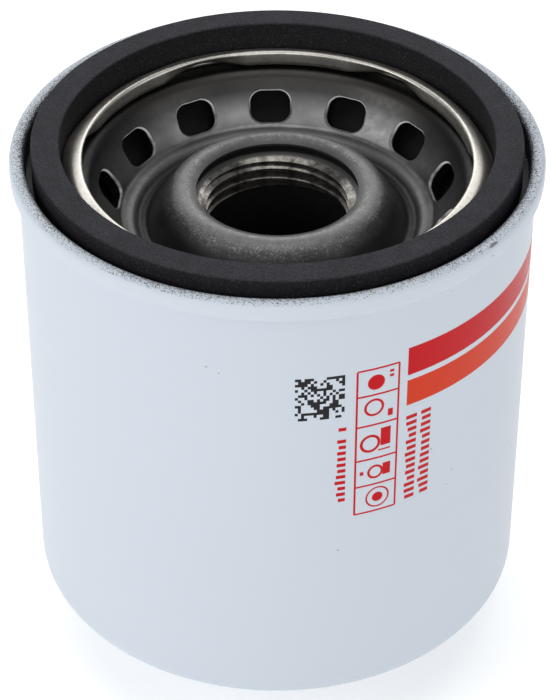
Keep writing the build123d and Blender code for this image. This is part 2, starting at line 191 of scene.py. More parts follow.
# ---- small chip in the paint of the seam
CHIP_ANGLE = -39.2
CHIP_RADIUS = 33.75
CHIP_STRETCH = 0.35          # how much its length counts against its width
CHIP_RAGGED = 0.1
CHIP_REACH = (0.32, 0.2)
CHIP_DEPTHS = (0.4, 0.2)     # below the seam's top, where the chip fades in
CHIP_STRENGTH = 0.75
CHIP_TONE = (0.05, 0.05, 0.05)

# ---- base plate: rings are (inner radius, outer radius, softness), from the hub outwards
STEEL_TONES = (0.042, 0.042, 0.042), (0.066, 0.065, 0.064)
# lighter tones of the cone's wall: painted light, strongest on its side towards +Y
PAINTED_LIGHT_TONES = (0.17, 0.17, 0.168), (0.34, 0.34, 0.335)
# flange beside the rim: painted light towards +Y, painted shade on its flanks
FLANGE_LIGHT_AND_SHADE_TONES = (0.050, 0.046, 0.042), (0.012, 0.012, 0.012)
WORN_TONE = (0.235, 0.235, 0.232)
# tone of the painted glints on the hub's rings
GLINT_TONE = (0.42, 0.42, 0.41)
# painted shade for the crease
CREASE_SHADE_TONE = (0.012, 0.012, 0.012)
# painted shade inside the inlets
INLET_SHADE_TONE = (0.018, 0.018, 0.018)
# painted highlight on the inlets' rims
EDGE_HIGHLIGHT_TONE = (0.95, 0.95, 0.93)
# tones of the cut thread, spread by painted reflection streaks
CUT_TONES = (0.06, 0.056, 0.05), (0.27, 0.255, 0.23)
# painted shade in the thread's relief under the lip
RELIEF_SHADE_TONE = (0.003, 0.003, 0.003)
MOTTLE = (0.22, 5.0, 0.6)
MOTTLE_SPAN = (0.30, 0.72)
WEAR = (1.4, 4.0, 0.7)
WEAR_SPAN = (0.30, 0.66, 0.70, 1.0)
PEENING = (4.2, 3.0, 0.7)
PEENING_SPAN = (0.48, 0.68)
PEENING_DEPTH = 0.03
PATCHES = (0.9, 2.0)
PATCHES_SPAN = (0.34, 0.60)
# stripes set by direction round the axis: painted reflections on the cut thread
REFLECTION_STREAKS = (0.7, 3.0, 0.7)
REFLECTION_STREAKS_SPAN = (0.35, 0.65)
SATIN = (1.0, 3.0)
SATIN_ROUGHNESS = (0.36, 0.46)
SHOULDER_RING = (11.3, 13.9, 1.3)
GLINT_RINGS = (11.3, 12.1, 0.4), (12.9, 14.4, 0.5)
# ring of painted shade over the bend into the valley
CREASE_RING = (17.0, 17.8, 0.3)
CREASE_STRENGTH = 0.7
RIDGE_RING = (18.3, 19.2, 0.4)
RIDGE_STRENGTH = 0.7
CONE_RING = (19.6, 22.0, 0.9)
PAINTED_LIGHT_SIDE = 90.0              # direction round the axis in which the cone takes the most painted light
PAINTED_LIGHT_SPREAD = (20.0, 80.0)    # degrees away from it over which the painted light gives way to painted shade
PAINTED_LIGHT_LEAST = 0.25
FLANGE_RADII = (22.9, 23.9)
WALL_DEPTHS = (0.3, 0.45)    # below the cone's face, inside an inlet, where painted shade darkens the wall
WALL_RADII = (19.3, 19.6)
# inlet rims: a painted highlight, faint on the lower rims and full on the upper ones
EDGE_DEPTHS = (0.06, 0.30, 0.04)
EDGE_RING = (20.1, 23.4, 0.1)
EDGE_HEIGHTS = (66.6, 68.2, 0.15, 1.0)
BORE_RADII = (10.95, 10.85)
THREAD_HEIGHTS = (66.6, 66.75, 1.0, 0.0)
RELIEF_HEIGHTS = (66.95, 68.1, 0.15)
SHOULDER_ROUGHER = 0.12
THREAD_SMOOTHER = 0.22
GRAIN_LEAST = 0.12
STEEL_METALLIC = (0.85, 0.1)  # on bare steel, and on its painted relief shade and the painted highlights on its inlets

# ---- rubber
RUBBER_GRAIN = (4.2, 3.0, 0.7)
RUBBER_CLOUD = (0.4, 4.0)
RUBBER_LIGHTER = 1.2
RUBBER_SPREAD = 0.06         # of roughness, to either side
RUBBER_SPECULAR = 0.08
RUBBER_DEPTH = 0.02
SPECK_CELLS = 1.7
SPECK_REACH = (0.24, 0.14)
SPECK_PLACES = (0.6, 2.0)
SPECK_SHARE = (0.38, 0.5)
SPECK_STRENGTH = 1.6
FINE_DUST_SPAN = (0.48, 0.70)
GASKET_RUBBER = ((0.010, 0.010, 0.011), (0.09, 0.09, 0.10), 0.22, 0.7)
VALVE_RUBBER = ((0.010, 0.010, 0.010), (0.015, 0.015, 0.015), 0.3, 0.5)
# lighter sealing face: talc dust, and a painted sheen on the top
TALC_AND_SHEEN_TONE = (0.066, 0.066, 0.078)
TALC_DEPTHS = (0.25, 0.05, 0.0, 0.55)    # below the sealing face, then how thick
TALC_GRAIN = (0.34, 0.66, 0.35, 1.0)
TALC_CLOUD = (0.35, 3.0)
TALC_CLOUD_SIZE = (0.75, 1.15)

# ---- hidden metals, paper and resins: tones, then roughness
TINNED_STEEL = ((0.50, 0.50, 0.49), (0.66, 0.65, 0.62), 0.32)
SPRING_STEEL = ((0.30, 0.30, 0.31), (0.44, 0.44, 0.45), 0.28)
METAL_MOTTLE = (0.5, 4.0)
METAL_SCRATCHES = (3.5, 3.0, 0.6)
METAL_SPREAD = 0.07
METAL_DEPTH = 0.008
PAPER_TONES = (0.62, 0.50, 0.30), (0.80, 0.70, 0.48)
PAPER_FIBRES = (2.2, 6.0, 0.75)
PAPER_SPAN = (0.35, 0.65)
PAPER_DEPTH = 0.06
PAPER_ROUGHNESS = 0.9
COMPOUND = ((0.16, 0.19, 0.16), (0.22, 0.25, 0.22), 0.6)
POTTING = ((0.10, 0.12, 0.14), (0.16, 0.18, 0.20), 0.45)
RESIN_WAVE = (0.7, 3.0)
RESIN_DEPTH = 0.08

# ---- stage and lights
STAGE_SIZE = 4000.0
STAGE_TONES = (0.93, 0.93, 0.93), (0.95, 0.95, 0.95)
STAGE_CLOUD = (0.01, 2.0)
STAGE_ROUGHNESS = 0.9
STAGE_GLOW = 0.25
SKY_COLOUR = (0.95, 0.97, 1.0, 1.0)
SKY_STRENGTH = 0.35
SOFTBOXES = (  # name, place, height it faces on the axis, width and height, watts
    ("left", (-620, -260, 330), 50, (420, 420), 2.0),
    ("right", (620, -260, 330), 50, (420, 420), 0.9),
    ("top", (0, -60, 760), 60, (500, 400), 1.0),
    ("back", (0, 700, 470), 60, (1100, 520), 3.6),
    ("front", (0, -620, 330), 40, (600, 260), 1.3),
)
CLIP_START = 10.0

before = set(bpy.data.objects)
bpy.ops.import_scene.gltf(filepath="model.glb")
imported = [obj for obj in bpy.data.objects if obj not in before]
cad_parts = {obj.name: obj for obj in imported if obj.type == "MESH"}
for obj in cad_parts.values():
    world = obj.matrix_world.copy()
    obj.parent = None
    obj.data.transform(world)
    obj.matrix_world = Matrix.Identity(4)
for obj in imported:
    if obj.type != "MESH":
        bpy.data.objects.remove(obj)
cad_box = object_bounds()


# ---------------------------------------------------------------- node graphs


class Graph:
    """Short calls for the nodes of one material, with positions in millimetres."""

    def __init__(self, name):
        self.material = bpy.data.materials.new(name)
        self.material.use_nodes = True
        self.tree = self.material.node_tree
        self.shader = self.tree.nodes["Principled BSDF"]
        local = self.node("ShaderNodeTexCoord").outputs["Object"]
        self.position = self.vector("SCALE", local, scale=1 / MM)
        split = self.node("ShaderNodeSeparateXYZ", {"Vector": self.position})
        self.x, self.y, self.z = split.outputs
        self.flat = self.node("ShaderNodeCombineXYZ", {"X": self.x, "Y": self.y}).outputs[0]
        self.radius = self.vector("LENGTH", self.flat)
        radians = self.math("ARCTAN2", self.y, self.x)
        self.angle = self.math("MULTIPLY", radians, 180 / math.pi)

    def node(self, kind, inputs=None, **settings):
        made = self.tree.nodes.new(kind)
        for key, value in settings.items():
            setattr(made, key, value)
        for key, value in (inputs or {}).items():
            self.feed(made.inputs[key], value)
        return made

    def feed(self, socket, value):
        """Link a socket, or set the value of one that isn't linked."""
        if isinstance(value, bpy.types.NodeSocket):
            self.tree.links.new(value, socket)
        elif isinstance(value, tuple) and socket.type == "RGBA":
            socket.default_value = (*value, 1.0)
        else:
            socket.default_value = value

    def math(self, operation, a, b=0.0):
        return self.node("ShaderNodeMath", {0: a, 1: b}, operation=operation).outputs[0]

    def vector(self, operation, a, b=None, scale=None):
        inputs = {0: a}
        if b is not None:
            inputs[1] = b
        if scale is not None:
            inputs["Scale"] = scale
        made = self.node("ShaderNodeVectorMath", inputs, operation=operation)
        return made.outputs["Value" if operation == "LENGTH" else "Vector"]

    def fade(self, value, start, end, low=0.0, high=1.0):
        """low at start, high at end, and clamped outside."""
        inputs = {"Value": value, "From Min": start, "From Max": end, "To Min": low, "To Max": high}
        return self.node("ShaderNodeMapRange", inputs).outputs[0]

    def between(self, value, low, high, soft):
        """1 from low to high, with soft edges."""
        rise = self.fade(value, low - soft, low + soft)
        fall = self.fade(value, high + soft, high - soft)
        return self.math("MINIMUM", rise, fall)

    def noise(self, scale, detail, roughness=0.5, place=None):
        inputs = {
            "Vector": self.position if place is None else place,
            "Scale": scale,
            "Detail": detail,
            "Roughness": roughness,
        }
        return self.node("ShaderNodeTexNoise", inputs).outputs["Fac"]

    def cells(self, scale):
        """Distance to the nearest of many scattered points."""
        inputs = {"Vector": self.position, "Scale": scale}
        return self.node("ShaderNodeTexVoronoi", inputs).outputs["Distance"]

    def any_of(self, masks):
        """The strongest of the masks."""
        total = masks[0]
        for mask in masks[1:]:
            total = self.math("MAXIMUM", total, mask)
        return total

    def all_of(self, masks):
        """The product of the masks."""
        total = masks[0]
        for mask in masks[1:]:
            total = self.math("MULTIPLY", total, mask)
        return total

    def mix(self, amount, a, b):
        """Colour a where amount is 0, and b where it is 1."""
        inputs = {"Factor": amount, "A": a, "B": b}
        made = self.node("ShaderNodeMix", data_type="RGBA")
        for key, value in inputs.items():
            wanted = "VALUE" if key == "Factor" else "RGBA"
            socket = next(s for s in made.inputs if s.name == key and s.type == wanted)
            self.feed(socket, value)
        return next(s for s in made.outputs if s.type == "RGBA")

    def bump(self, height, depth):
        inputs = {"Height": height, "Distance": depth * MM, "Strength": 1.0}
        return self.node("ShaderNodeBump", inputs).outputs["Normal"]

    def finish(self, **inputs):
        """Feed the shader's inputs, named with underscores for spaces, and return the material."""
        for key, value in inputs.items():
            self.feed(self.shader.inputs[key.replace("_", " ")], value)
        return self.material


# ---------------------------------------------------------------- print on the can


def box_mask(g, depth, angles, depths):
    """Rectangle on the can's wall."""
    across = g.between(g.angle, *angles, ANGLE_EDGE)
    along = g.between(depth, *depths, DEPTH_EDGE)
    return g.math("MULTIPLY", across, along)


def block_mask(g, depth):
    """Square of scattered black cells."""
    columns = g.fade(g.angle, *BLOCK_ANGLES, 0.0, BLOCK_CELLS)
    rows = g.fade(depth, *BLOCK_DEPTHS, 0.0, BLOCK_CELLS)
    place = {"X": g.math("FLOOR", columns), "Y": g.math("FLOOR", rows)}
    cell = g.node("ShaderNodeCombineXYZ", place).outputs[0]
    chance = g.node("ShaderNodeTexWhiteNoise", {"Vector": cell}, noise_dimensions="2D")
    filled = g.math("GREATER_THAN", chance.outputs["Value"], BLOCK_EMPTY)
    return g.math("MULTIPLY", filled, box_mask(g, depth, BLOCK_ANGLES, BLOCK_DEPTHS))


def tick_mask(g, depth, angles, depths, seed):
    """Column of short bars of uneven length, which stands for a printed line."""
    count = round((depths[1] - depths[0]) / TICK_PITCH)
    step = g.fade(depth, *depths, 0.0, count)
    cell = g.math("ADD", g.math("FLOOR", step), seed)
    chance = g.node("ShaderNodeTexWhiteNoise", {"W": cell}, noise_dimensions="1D").outputs["Value"]
    bar = g.between(g.math("FRACT", step), 0.5 - TICK_HALF, 0.5 + TICK_HALF, TICK_EDGE)
    kept = g.math("GREATER_THAN", chance, TICK_MISSING)
    short = g.fade(chance, TICK_MISSING, 1.0, 0.0, TICK_SHORTER * (angles[1] - angles[0]))
    inside = g.math("GREATER_THAN", g.math("SUBTRACT", g.angle, short), angles[0])
    return g.all_of([bar, kept, inside, box_mask(g, depth, angles, depths)])


def mark_mask(g, across, along, mark):
    """One plain mark of a cell: a ring, a disc or a bar, placed from the cell's middle."""
    shape, *sizes = mark
    if shape == "bar":
        left, right, top, bottom = sizes
        sides = g.between(across, left, right, MARK_EDGE), g.between(along, top, bottom, MARK_EDGE)
        return g.math("MULTIPLY", *sides)
    x, y, outer, *hole = sizes
    inner = hole[0] if hole else -outer
    from_centre = {"X": g.math("SUBTRACT", across, x), "Y": g.math("SUBTRACT", along, y)}
    reach = g.vector("LENGTH", g.node("ShaderNodeCombineXYZ", from_centre).outputs[0])
    return g.between(reach, inner, outer, MARK_EDGE)


def panel_mask(g, depth):
    """Outlined panel of five cells, each with its plain marks."""
    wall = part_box("can_shell")[1].x / MM
    half = PANEL_LINE / 2
    half_angle = math.degrees(half / wall)
    span = (PANEL_DEPTHS[0], PANEL_DEPTHS[-1])
    masks = []
    for angle in PANEL_ANGLES:
        masks.append(box_mask(g, depth, (angle - half_angle, angle + half_angle), span))
    for level in PANEL_DEPTHS:
        masks.append(box_mask(g, depth, PANEL_ANGLES, (level - half, level + half)))
    middle = sum(PANEL_ANGLES) / 2
    across = g.math("MULTIPLY", g.math("SUBTRACT", g.angle, middle), math.radians(wall))
    for top, bottom, marks in zip(PANEL_DEPTHS, PANEL_DEPTHS[1:], PANEL_MARKS):
        along = g.math("SUBTRACT", depth, (top + bottom) / 2)
        masks += [mark_mask(g, across, along, mark) for mark in marks]
    return g.any_of(masks)


def can_print(g, paint):
    """Red and orange bands, a block pattern, a marked panel and plain ticks for the small print."""
    top = cad_box[1][2] / MM
    depth = g.math("SUBTRACT", top, g.z)
    red = [box_mask(g, depth, (BAND_START, BAND_END), RED_BAND), panel_mask(g, depth)]
    red.append(tick_mask(g, depth, CODE_ANGLES, CODE_DEPTHS, CODE_SEED))
    for i, angles in enumerate(NOTE_COLUMNS):
        red.append(tick_mask(g, depth, angles, NOTE_DEPTHS, NOTE_SEED * (i + 1)))
    wall = g.fade(g.radius, *PRINT_WALL)
    red = g.math("MULTIPLY", g.any_of(red), wall)
    orange = g.math("MULTIPLY", box_mask(g, depth, (BAND_START, BAND_END), ORANGE_BAND), wall)
    black = g.math("MULTIPLY", block_mask(g, depth), wall)
    colour = g.mix(red, paint, PRINT_RED)
    colour = g.mix(orange, colour, PRINT_ORANGE)
    return g.mix(black, colour, PRINT_BLACK)


# ---------------------------------------------------------------- materials


def white_paint(g):
    """Bluish white with very faint clouding and a few specks of dust."""
    paint = g.mix(g.fade(g.noise(*PAINT_CLOUD), *CORE), *PAINT_TONES)
    rare = g.fade(g.noise(*DUST_PLACES), *DUST_SHARE)
    speck = g.math("MULTIPLY", g.fade(g.cells(DUST_CELLS), *DUST_REACH), rare)
    return g.mix(g.math("MULTIPLY", speck, DUST_STRENGTH), paint, DUST_TONE)


def painted(g, colour, roughness, specular):
    """Gloss paint with the orange peel of spraying."""
    return g.finish(
        Base_Color=colour,
        Roughness=g.fade(g.noise(*PAINT_GLOSS), *WIDE, *roughness),
        Specular_IOR_Level=specular,
        Normal=g.bump(g.noise(*PEEL), PEEL_DEPTH),
    )


def can_paint():
    g = Graph("can_paint")
    return painted(g, can_print(g, white_paint(g)), CAN_ROUGHNESS, CAN_SPECULAR)


def nut_paint():
    g = Graph("nut_paint")
    return painted(g, white_paint(g), NUT_ROUGHNESS, NUT_SPECULAR)


def paint_chip(g, grain):
    """Ragged spot on the seam where the paint has come off."""
    turned = g.math("SUBTRACT", g.angle, CHIP_ANGLE)
    along = g.math("MULTIPLY", turned, math.radians(CHIP_RADIUS))
    across = g.math("SUBTRACT", g.radius, CHIP_RADIUS)
    spread = {"X": g.math("MULTIPLY", along, CHIP_STRETCH), "Y": across}
    reach = g.vector("LENGTH", g.node("ShaderNodeCombineXYZ", spread).outputs[0])
    reach = g.math("ADD", reach, g.fade(grain, *CORE, -CHIP_RAGGED, CHIP_RAGGED))
    seam_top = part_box("seaming_lid")[1].z / MM
    low, high = (seam_top - depth for depth in CHIP_DEPTHS)
    return g.math("MULTIPLY", g.fade(reach, *CHIP_REACH), g.fade(g.z, low, high, 0.0, CHIP_STRENGTH))


def seam_paint(g):
    """White paint on the seam, which thins to dark specks towards the gasket; the bare steel by the
    gasket is blackened with painted shade in the gap.
    """
    grain = g.noise(*SPECKS)
    drift = g.fade(g.noise(*SPECKS_DRIFT), *CORE, -SPECKS_DRIFT_SIZE, SPECKS_DRIFT_SIZE)
    cover = drift
    for share in (COVER_INNER, COVER_TOP, COVER_SIDE):
        cover = g.math("ADD", cover, g.fade(g.radius, *share))
    bare = g.math("GREATER_THAN", grain, cover)
    # bare steel is dark, and near black beside the gasket as painted shade in the gap
    grime_and_shade = g.mix(g.fade(g.radius, *GRIME_AND_SHADE_RADII), *GRIME_AND_SHADE_TONES)
    return g.mix(paint_chip(g, grain), g.mix(bare, white_paint(g), grime_and_shade), CHIP_TONE)


def lid_finish():
    """Bare bright plate inside the gasket, and paint on the seam."""
    g = Graph("lid_finish")
    stain = g.math("MULTIPLY", g.fade(g.noise(*STAIN), *STAIN_SHARE), STAIN_STRENGTH)
    metal = g.mix(stain, g.mix(g.fade(g.noise(*LID_DRIFT), *CORE), *LID_TONES), STAIN_TONE)
    outside = g.fade(g.radius, *PAINT_START)
    return g.finish(
        Base_Color=g.mix(outside, metal, seam_paint(g)),
        Metallic=g.fade(outside, 0.0, 1.0, 1.0, 0.0),
        Roughness=g.fade(g.noise(*LID_GLOSS), *WIDE, *LID_ROUGHNESS),
        Specular_IOR_Level=LID_SPECULAR,
        Normal=g.bump(g.noise(*LID_WAVE), LID_WAVE_DEPTH),
    )


def cone_depth(g):
    """Distance below the upper face of the plate's conical wall."""
    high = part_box("base_plate")[1] / MM
    foot = (CONE_FOOT_RADIUS, high.z - CONE_DROP)
    along = unit(foot, (CONE_TOP_RADIUS, high.z))
    out = g.math("MULTIPLY", g.math("SUBTRACT", g.radius, foot[0]), along[1])
    up = g.math("MULTIPLY", g.math("SUBTRACT", g.z, foot[1]), along[0])
    return g.math("SUBTRACT", out, up)


def formed_steel(g, shoulder, peening):
    """Dark oiled steel: painted light and painted shade on the cone and the flange by direction round
    the axis, worn on the hub and the ridge, painted glints on the hub's rings and painted shade in
    the crease.
    """
    mottle = g.fade(g.noise(*MOTTLE), *MOTTLE_SPAN)
    # the cone is painted lighter on its side towards +Y and darker on its flanks: painted light and
    # painted shade
    aside = g.math("ABSOLUTE", g.math("SUBTRACT", g.angle, PAINTED_LIGHT_SIDE))
    painted_light_share = g.fade(aside, *PAINTED_LIGHT_SPREAD, 1.0, PAINTED_LIGHT_LEAST)
    cone = g.math("MULTIPLY", g.between(g.radius, *CONE_RING), painted_light_share)
    steel = g.mix(cone, g.mix(mottle, *STEEL_TONES), g.mix(mottle, *PAINTED_LIGHT_TONES))
    # painted shade darkens the crease at the bend into the valley, where the bend would catch light
    crease = g.math("MULTIPLY", g.between(g.radius, *CREASE_RING), CREASE_STRENGTH)
    steel = g.mix(crease, steel, CREASE_SHADE_TONE)
    ridge = g.math("MULTIPLY", g.between(g.radius, *RIDGE_RING), RIDGE_STRENGTH)
    worn = g.math("MULTIPLY", g.fade(g.noise(*WEAR), *WEAR_SPAN), g.any_of([shoulder, ridge]))
    steel = g.mix(worn, steel, WORN_TONE)
    # the bright specks on the hub's rings are painted glints on the peened steel
    rings = g.any_of([g.between(g.radius, *ring) for ring in GLINT_RINGS])
    patches = g.fade(g.noise(*PATCHES), *PATCHES_SPAN)
    bright = g.all_of([g.fade(peening, *PEENING_SPAN), patches, rings])
    steel = g.mix(bright, steel, GLINT_TONE)
    # the flange is painted lighter towards +Y and darker on its flanks: painted light and painted
    # shade
    flange = g.mix(g.fade(aside, *PAINTED_LIGHT_SPREAD), *FLANGE_LIGHT_AND_SHADE_TONES)
    return g.mix(g.fade(g.radius, *FLANGE_RADII), steel, flange)


def plate_finish():
    """Oiled steel with painted shade on the inlet walls and in the thread's relief, painted
    highlights on the inlets' upper edges and a bright cut thread with painted reflection streaks.
    """
    g = Graph("plate_finish")
    shoulder = g.between(g.radius, *SHOULDER_RING)
    peening = g.noise(*PEENING)
    depth = cone_depth(g)
    # the inlets' walls are darkened with painted shade
    wall = g.math("MULTIPLY", g.fade(depth, *WALL_DEPTHS), g.fade(g.radius, *WALL_RADII))
    steel = g.mix(wall, formed_steel(g, shoulder, peening), INLET_SHADE_TONE)
    # painted highlight on the inlets' rims, which grows with height
    edge = g.all_of([
        g.between(depth, *EDGE_DEPTHS), g.between(g.radius, *EDGE_RING), g.fade(g.z, *EDGE_HEIGHTS)
    ])
    steel = g.mix(edge, steel, EDGE_HIGHLIGHT_TONE)
    bore = g.fade(g.radius, *BORE_RADII)
    thread = g.math("MULTIPLY", g.fade(g.z, *THREAD_HEIGHTS), bore)
    # the near-black relief under the lip is painted shade
    relief = g.math("MULTIPLY", g.between(g.z, *RELIEF_HEIGHTS), bore)
    # stripes down the cut thread by direction round the axis are painted reflections
    streaks = g.fade(g.noise(*REFLECTION_STREAKS, place=g.flat), *REFLECTION_STREAKS_SPAN)
    steel = g.mix(thread, steel, g.mix(streaks, *CUT_TONES))
    satin = g.fade(g.noise(*SATIN), *CORE, *SATIN_ROUGHNESS)
    rough = g.math("ADD", satin, g.math("MULTIPLY", shoulder, SHOULDER_ROUGHER))
    grain = g.math("MULTIPLY", peening, g.fade(shoulder, 0.0, 1.0, GRAIN_LEAST, 1.0))
    return g.finish(
        Base_Color=g.mix(relief, steel, RELIEF_SHADE_TONE),
        Metallic=g.fade(g.any_of([relief, edge]), 0.0, 1.0, *STEEL_METALLIC),
        Roughness=g.math("SUBTRACT", rough, g.math("MULTIPLY", thread, THREAD_SMOOTHER)),
        Normal=g.bump(grain, PEENING_DEPTH),
    )


def dusty_rubber(g, grain, dark, dust, dust_amount):
    """Colour of black rubber with fine and scattered dust."""
    light = tuple(RUBBER_LIGHTER * c for c in dark)
    tone = g.mix(g.fade(g.noise(*RUBBER_CLOUD), *CORE), dark, light)
    places = g.fade(g.noise(*SPECK_PLACES), *SPECK_SHARE)
    specks = g.math("MULTIPLY", g.fade(g.cells(SPECK_CELLS), *SPECK_REACH), places)
    specks = g.math("MULTIPLY", specks, SPECK_STRENGTH)
    dusty = g.any_of([specks, g.fade(grain, *FINE_DUST_SPAN)])
    return g.mix(g.math("MULTIPLY", dusty, dust_amount), tone, dust)


def finish_rubber(g, grain, colour, roughness):
    span = roughness - RUBBER_SPREAD, roughness + RUBBER_SPREAD
    return g.finish(
        Base_Color=colour,
        Roughness=g.fade(grain, *CORE, *span),
        Specular_IOR_Level=RUBBER_SPECULAR,
        Normal=g.bump(grain, RUBBER_DEPTH),
    )


def valve_rubber():
    g = Graph("valve_rubber")
    grain = g.noise(*RUBBER_GRAIN)
    *tones, roughness = VALVE_RUBBER
    return finish_rubber(g, grain, dusty_rubber(g, grain, *tones), roughness)


def gasket_rubber():
    """Black rubber, greyed on its sealing face by talc and by a painted sheen."""
    g = Graph("gasket_rubber")
    grain = g.noise(*RUBBER_GRAIN)
    *tones, roughness = GASKET_RUBBER
    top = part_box("gasket")[1].z / MM
    deep, shallow, *thickness = TALC_DEPTHS
    # the sealing face is lighter from talc dust and from a painted sheen on the top
    talc_and_sheen = g.all_of([
        g.fade(g.z, top - deep, top - shallow, *thickness),
        g.fade(grain, *TALC_GRAIN),
        g.fade(g.noise(*TALC_CLOUD), *CORE, *TALC_CLOUD_SIZE),
    ])
    colour = g.mix(talc_and_sheen, dusty_rubber(g, grain, *tones), TALC_AND_SHEEN_TONE)
    return finish_rubber(g, grain, colour, roughness)


def bare_metal(name, dark, light, roughness):
    """Drawn or plated metal with a soft mottle and fine scratches."""
    g = Graph(name)
    scratches = g.noise(*METAL_SCRATCHES)
    span = roughness - METAL_SPREAD, roughness + METAL_SPREAD
    return g.finish(
        Base_Color=g.mix(g.fade(g.noise(*METAL_MOTTLE), *CORE), dark, light),
        Metallic=1.0,
        Roughness=g.fade(scratches, *CORE, *span),
        Normal=g.bump(scratches, METAL_DEPTH),
    )


def paper():
    """Resin-treated filter paper with fibres."""
    g = Graph("filter_paper")
    fibres = g.noise(*PAPER_FIBRES)
    return g.finish(
        Base_Color=g.mix(g.fade(fibres, *PAPER_SPAN), *PAPER_TONES),
        Roughness=PAPER_ROUGHNESS,
        Normal=g.bump(fibres, PAPER_DEPTH),
    )


def set_resin(name, dark, light, roughness):
    """Poured adhesive or sealing compound with shallow waves."""
    g = Graph(name)
    wave = g.noise(*RESIN_WAVE)
    return g.finish(
        Base_Color=g.mix(g.fade(wave, *CORE), dark, light),
        Roughness=roughness,
        Normal=g.bump(wave, RESIN_DEPTH),
    )


def stage_paint():
    g = Graph("stage_paint")
    return g.finish(
        Base_Color=g.mix(g.noise(*STAGE_CLOUD), *STAGE_TONES),
        Roughness=STAGE_ROUGHNESS,
        Emission_Color=(1.0, 1.0, 1.0),
        Emission_Strength=STAGE_GLOW,
    )


def dress_nodes(lid_material):
    """Each CAD node takes the material of the metal, rubber, paper or resin that it is made of."""
    looks = {
        "can_shell": can_paint(),
        "wrench_nut nut_weld_beads": nut_paint(),
        "seaming_lid": lid_material,
        "base_plate": plate_finish(),
        "gasket": gasket_rubber(),
        "filter_media": paper(),
        "seam_compound": set_resin("compound", *COMPOUND),
        "lower_potting upper_potting": set_resin("potting", *POTTING),
        "upper_end_cap lower_end_cap centre_tube media_seam_clip bypass_cage": (
            bare_metal("tinned_steel", *TINNED_STEEL)
        ),
        "bypass_poppet bypass_spring element_spring": bare_metal("spring_steel", *SPRING_STEEL),
        "bypass_seal drainback_valve_collar drainback_valve_skirt": valve_rubber(),
    }
    for names, material in looks.items():
        for name in names.split():
            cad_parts[name].material_slots[0].material = material


# ---------------------------------------------------------------- the formed lid


def unit(start, end):
    """Direction from start to end, at length 1."""
    length = math.dist(start, end)
    return (end[0] - start[0]) / length, (end[1] - start[1]) / length


def bent_line(points, bends, steps):
    """Polyline with an arc of the given radius at each inner point."""
    line = [points[0]]
    for before, corner, after, bend in zip(points, points[1:], points[2:], bends):
        into, out = unit(corner, before), unit(corner, after)
        half = math.acos(max(-1.0, min(1.0, into[0] * out[0] + into[1] * out[1]))) / 2
        reach = bend / math.tan(half)
        to_centre = bend / math.sin(half)
        middle = unit((0, 0), (into[0] + out[0], into[1] + out[1]))
        centre = (corner[0] + middle[0] * to_centre, corner[1] + middle[1] * to_centre)
        first, last = (
            math.atan2(corner[1] + leg[1] * reach - centre[1], corner[0] + leg[0] * reach - centre[0])
            for leg in (into, out)
        )
        sweep = (last - first + math.pi) % (2 * math.pi) - math.pi
        for i in range(steps + 1):
            turn = first + sweep * i / steps
            line.append((centre[0] + bend * math.cos(turn), centre[1] + bend * math.sin(turn)))
    line.append(points[-1])
    return line


def divided(line, longest):
    """The same line with its long runs cut into shorter ones."""
    result = [line[0]]
    for start, end in zip(line, line[1:]):
        count = max(1, math.ceil(math.dist(start, end) / longest))
        for i in range(1, count + 1):
            share = i / count
            result.append(tuple(a + (b - a) * share for a, b in zip(start, end)))
    return result


def lobe_share(angle):
    """1 in the middle of a lobe, and 0 between lobes."""
    pitch = FULL_TURN / LOBE_COUNT
    away = abs((angle - LOBE_FIRST + pitch / 2) % pitch - pitch / 2)
    if away >= LOBE_HALF_ANGLE:
        return 0.0
    return math.cos(math.pi / 2 * away / LOBE_HALF_ANGLE) ** LOBE_POWER


def surface(name, rows):
    """Smooth quads through rows of points in millimetres; each row runs once round the axis."""
    count = len(rows[0])
    points = [tuple(c * MM for c in point) for row in rows for point in row]
    faces = []
    for i in range(len(rows) - 1):
        for j in range(count):
            k = (j + 1) % count
            faces.append((i * count + j, i * count + k, (i + 1) * count + k, (i + 1) * count + j))
    mesh = bpy.data.meshes.new(name)
    mesh.from_pydata(points, [], faces)
    mesh.polygons.foreach_set("use_smooth", [True] * len(faces))
    made = bpy.data.objects.new(name, mesh)
    bpy.context.scene.collection.objects.link(made)
    return made


def hem_corner(rim_top):
    """Height where the hem's two legs would cross, so that its bend tops out at rim_top."""
    half = (math.pi / 2 - math.atan2(SLOPE_FALL, SLOPE_FLAT)) / 2
    return rim_top - HEM_BEND + HEM_BEND / math.tan(half)


def lid_line():
    """Middle of the lid's sheet in (radius, height), with the heights of its rim and channel."""
    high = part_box("seaming_lid")[1] / MM
    half = SHEET / 2
    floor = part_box("gasket")[0].z / MM - half
    rim = RIM_RADIUS + half
    rim_top = high.z - RIM_DROP - half
    chuck = high.x - CHUCK_INSET
    outer = high.x - half
    hook = outer - HOOK_INSET
    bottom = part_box("seam_compound")[0].z / MM - SEAM_DROP
    line = [
        (rim, rim_top - FLANGE_LENGTH),
        (rim, hem_corner(rim_top)),
        (rim + HEM_BEND + SLOPE_FLAT, rim_top - SLOPE_FALL),
        (FOOT_RADIUS, rim_top - SLOPE_SHOULDER),
        (FOOT_RADIUS, floor),
        (chuck, floor),
        (chuck - CHUCK_LEAN, high.z - half),
        (outer, high.z - half),
        (outer, bottom),
        (hook, bottom),
        (hook, high.z - HOOK_DROP),
    ]
    bends = [HEM_BEND, SLOPE_BEND, SHOULDER_BEND, FOOT_BEND, CORNER_BEND]
    bends += [SEAM_BEND, SEAM_BEND, HOOK_BEND, HOOK_BEND]
    return divided(bent_line(line, bends, BEND_STEPS), LID_QUAD), rim_top, floor


